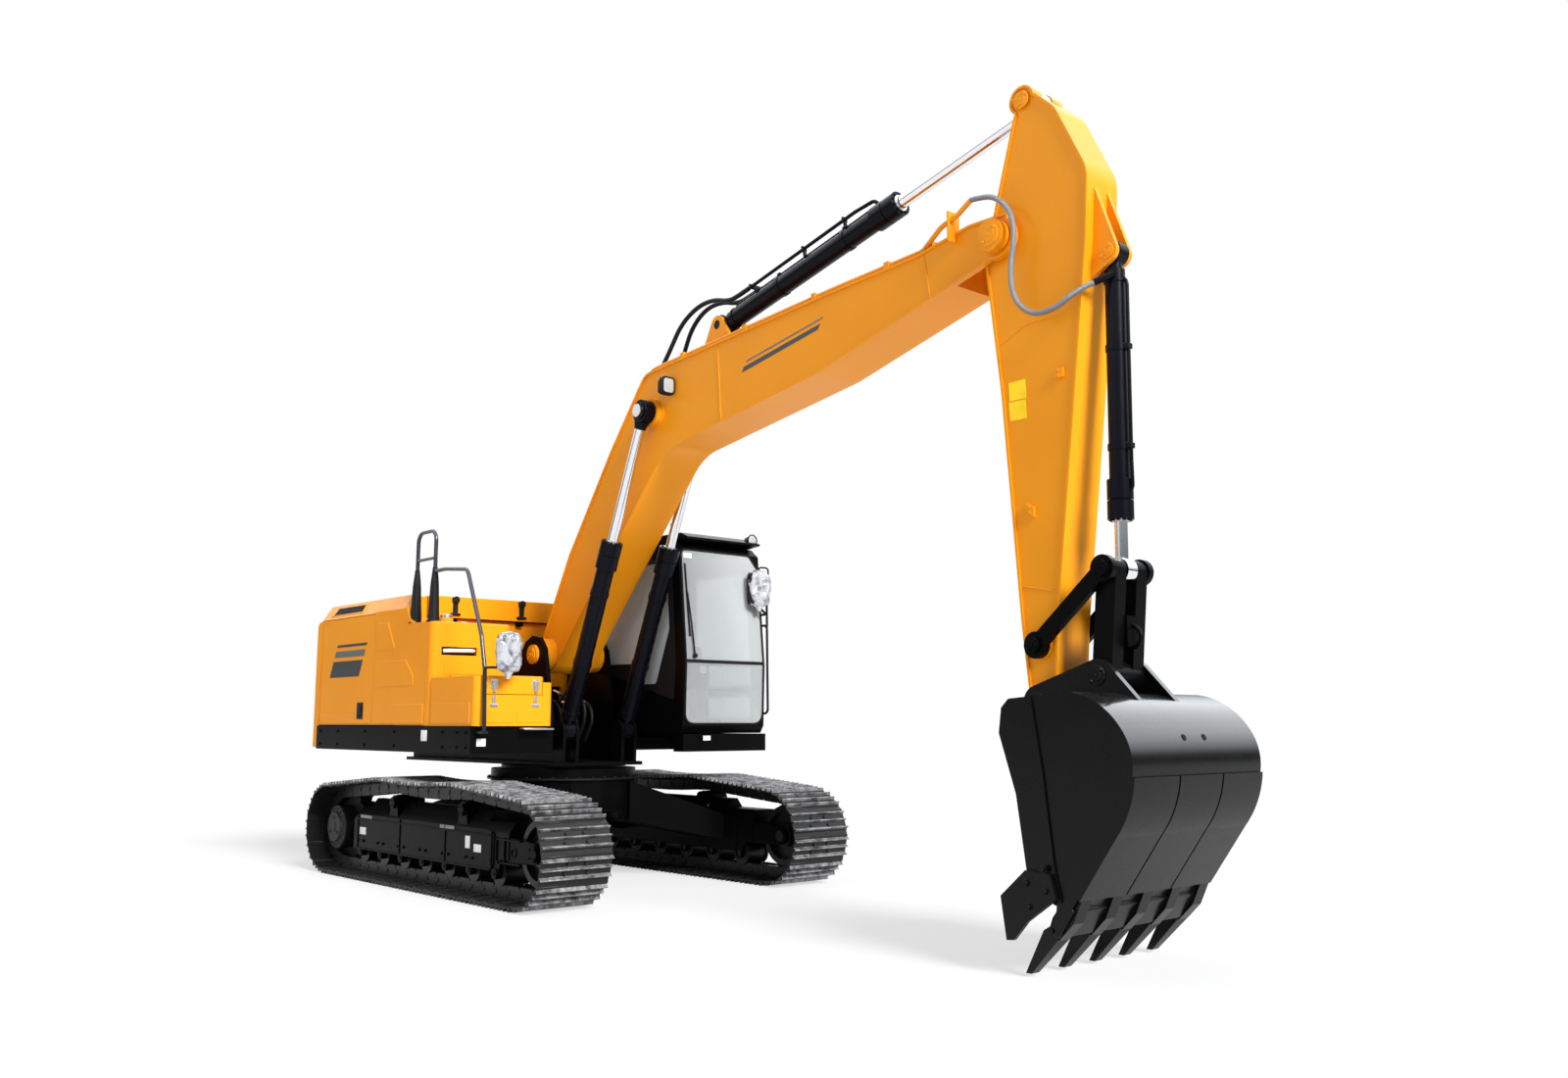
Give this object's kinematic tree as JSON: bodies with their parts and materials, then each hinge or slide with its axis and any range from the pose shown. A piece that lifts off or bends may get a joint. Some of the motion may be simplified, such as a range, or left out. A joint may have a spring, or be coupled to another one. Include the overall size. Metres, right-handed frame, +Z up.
{
  "type": "crawler excavator",
  "caption": "Tracked hydraulic excavator with swinging house, hollow cab, two-piece boom and arm, and a toothed digging bucket on a rocker linkage.",
  "frame": {"origin": "on the ground, under the swing axis", "axes": "+X forward along the boom, +Y to the left (cab side), +Z up"},
  "size_m": [9.154, 2.98, 5.3349],
  "materials": {
    "yellow_paint": "gloss enamel, warm yellow",
    "black_paint": "satin black enamel",
    "chrome": "hard chromed and ground",
    "track_steel": "painted black steel",
    "cab_trim": "fine grained plastic",
    "cab_glass": "clear safety glass, lightly tinted",
    "hose_cover": "grey braided sleeve over rubber",
    "seat_fabric": "woven upholstery"
  },
  "bodies": {
    "undercarriage": {"carbody": "black_paint", "swing_bearing": "black_paint", "track_left": "track_steel", "track_right": "track_steel", "track_frame_left": "black_paint", "track_frame_right": "black_paint", "track_rollers_left": "track_steel", "track_rollers_right": "track_steel", "idler_left": "track_steel", "idler_right": "track_steel", "sprocket_left": "track_steel", "sprocket_right": "track_steel"},
    "house": {"upper_frame": "black_paint", "counterweight": "yellow_paint", "engine_block": "black_paint", "engine_housing": "yellow_paint", "right_side_panel": "yellow_paint", "hydraulic_tank": "yellow_paint", "tool_box": "yellow_paint", "cab": "black_paint", "cab_glass": "cab_glass", "seat": "seat_fabric", "cab_controls": "cab_trim", "handrails": "black_paint", "mirrors": "cab_trim"},
    "right_door": {"right_door": "yellow_paint"},
    "left_rear_door": {"left_rear_door": "yellow_paint"},
    "left_front_door": {"left_front_door": "yellow_paint"},
    "engine_hood": {"engine_hood": "yellow_paint"},
    "tool_box_lid": {"tool_box_lid": "yellow_paint"},
    "cab_door": {"cab_door": "black_paint", "cab_door_glass": "cab_glass"},
    "boom": {"boom": "yellow_paint", "boom_pipes": "yellow_paint"},
    "boom_cylinder_barrels": {"boom_cylinder_barrels": "black_paint"},
    "boom_cylinder_rods": {"boom_cylinder_rods": "chrome"},
    "arm_cylinder_barrel": {"arm_cylinder_barrel": "black_paint"},
    "arm_cylinder_rod": {"arm_cylinder_rod": "chrome"},
    "arm": {"arm": "yellow_paint", "arm_hose": "hose_cover"},
    "bucket_cylinder_barrel": {"bucket_cylinder_barrel": "black_paint"},
    "bucket_cylinder_rod": {"bucket_cylinder_rod": "chrome"},
    "rocker_links": {"rocker_links": "black_paint"},
    "bucket": {"bucket": "black_paint"},
    "h_link": {"h_link": "black_paint"}
  },
  "joints": [
    {"name": "swing", "type": "hinge", "parent": "undercarriage", "child": "house", "pos_m": [0, 0, 0.9], "axis": [0, 0, 1], "continuous": true},
    {"name": "boom_lift", "type": "hinge", "parent": "house", "child": "boom", "pos_m": [0.02, 0, 1.96], "axis": [0, -1, 0], "range_deg": [-73, 25]},
    {"name": "boom_cylinder_swing", "type": "hinge", "parent": "house", "child": "boom_cylinder_barrels", "pos_m": [0.5, 0, 1.29], "axis": [0, -1, 0], "range_deg": [-76, 26]},
    {"name": "boom_cylinder_stroke", "type": "slide", "parent": "boom_cylinder_barrels", "child": "boom_cylinder_rods", "axis": [0.3854, 0, 0.9228], "range_m": [-1, 0.34]},
    {"name": "arm_swing", "type": "hinge", "parent": "boom", "child": "arm", "pos_m": [5.24, 0, 4.38], "axis": [0, 1, 0], "range_deg": [-76, 38]},
    {"name": "arm_cylinder_swing", "type": "hinge", "parent": "boom", "child": "arm_cylinder_barrel", "pos_m": [2.27, 0, 4.53], "axis": [0, -1, 0], "range_deg": [-3, 4]},
    {"name": "arm_cylinder_stroke", "type": "slide", "parent": "arm_cylinder_barrel", "child": "arm_cylinder_rod", "axis": [0.9757, 0, 0.2192], "range_m": [-1.03, 0.52]},
    {"name": "bucket_curl", "type": "hinge", "parent": "arm", "child": "bucket", "pos_m": [5.47, 0, 1.47], "axis": [0, 1, 0], "range_deg": [-25, 135]},
    {"name": "rocker_turn", "type": "hinge", "parent": "arm", "child": "rocker_links", "pos_m": [5.46, 0, 1.81], "axis": [0, 1, 0], "range_deg": [-20, 100]},
    {"name": "h_link_turn", "type": "hinge", "parent": "bucket", "child": "h_link", "pos_m": [5.89, 0, 1.62], "axis": [0, -1, 0], "range_deg": [-15, 77]},
    {"name": "bucket_cylinder_swing", "type": "hinge", "parent": "arm", "child": "bucket_cylinder_barrel", "pos_m": [5.97, 0, 4.12], "axis": [0, -1, 0], "range_deg": [-2, 4]},
    {"name": "bucket_cylinder_stroke", "type": "slide", "parent": "bucket_cylinder_barrel", "child": "bucket_cylinder_rod", "axis": [-0.0132, 0, -0.9999], "range_m": [-0.19, 0.98]},
    {"name": "cab_door_hinge", "type": "hinge", "parent": "house", "child": "cab_door", "pos_m": [0.108, 1.359, 2], "axis": [0, 0, 1], "range_deg": [0, 160]},
    {"name": "right_door_hinge", "type": "hinge", "parent": "house", "child": "right_door", "pos_m": [-2.263, -1.33, 1.8], "axis": [0, 0, -1], "range_deg": [0, 110]},
    {"name": "left_rear_door_hinge", "type": "hinge", "parent": "house", "child": "left_rear_door", "pos_m": [-2.263, 1.33, 1.8], "axis": [0, 0, 1], "range_deg": [0, 110]},
    {"name": "left_front_door_hinge", "type": "hinge", "parent": "house", "child": "left_front_door", "pos_m": [-1.44, 1.33, 1.8], "axis": [0, 0, 1], "range_deg": [0, 110]},
    {"name": "engine_hood_hinge", "type": "hinge", "parent": "house", "child": "engine_hood", "pos_m": [-2.17, 0, 2.494], "axis": [0, -1, 0], "range_deg": [0, 55]},
    {"name": "tool_box_lid_hinge", "type": "hinge", "parent": "house", "child": "tool_box_lid", "pos_m": [0.118, -0.995, 1.744], "axis": [0, -1, 0], "range_deg": [0, 80]}
  ],
  "couplings": [
    {"joint": "boom_cylinder_swing", "follows": "boom_lift", "ratio": 0.953},
    {"joint": "boom_cylinder_stroke", "follows": "boom_lift", "m_per_rad": 0.744},
    {"joint": "arm_cylinder_swing", "follows": "arm_swing", "ratio": -0.031},
    {"joint": "arm_cylinder_stroke", "follows": "arm_swing", "m_per_rad": 0.76},
    {"joint": "rocker_turn", "follows": "bucket_curl", "ratio": 0.732},
    {"joint": "h_link_turn", "follows": "bucket_curl", "ratio": 0.568},
    {"joint": "bucket_cylinder_swing", "follows": "bucket_curl", "ratio": 0.0025},
    {"joint": "bucket_cylinder_stroke", "follows": "bucket_curl", "m_per_rad": 0.385}
  ]
}
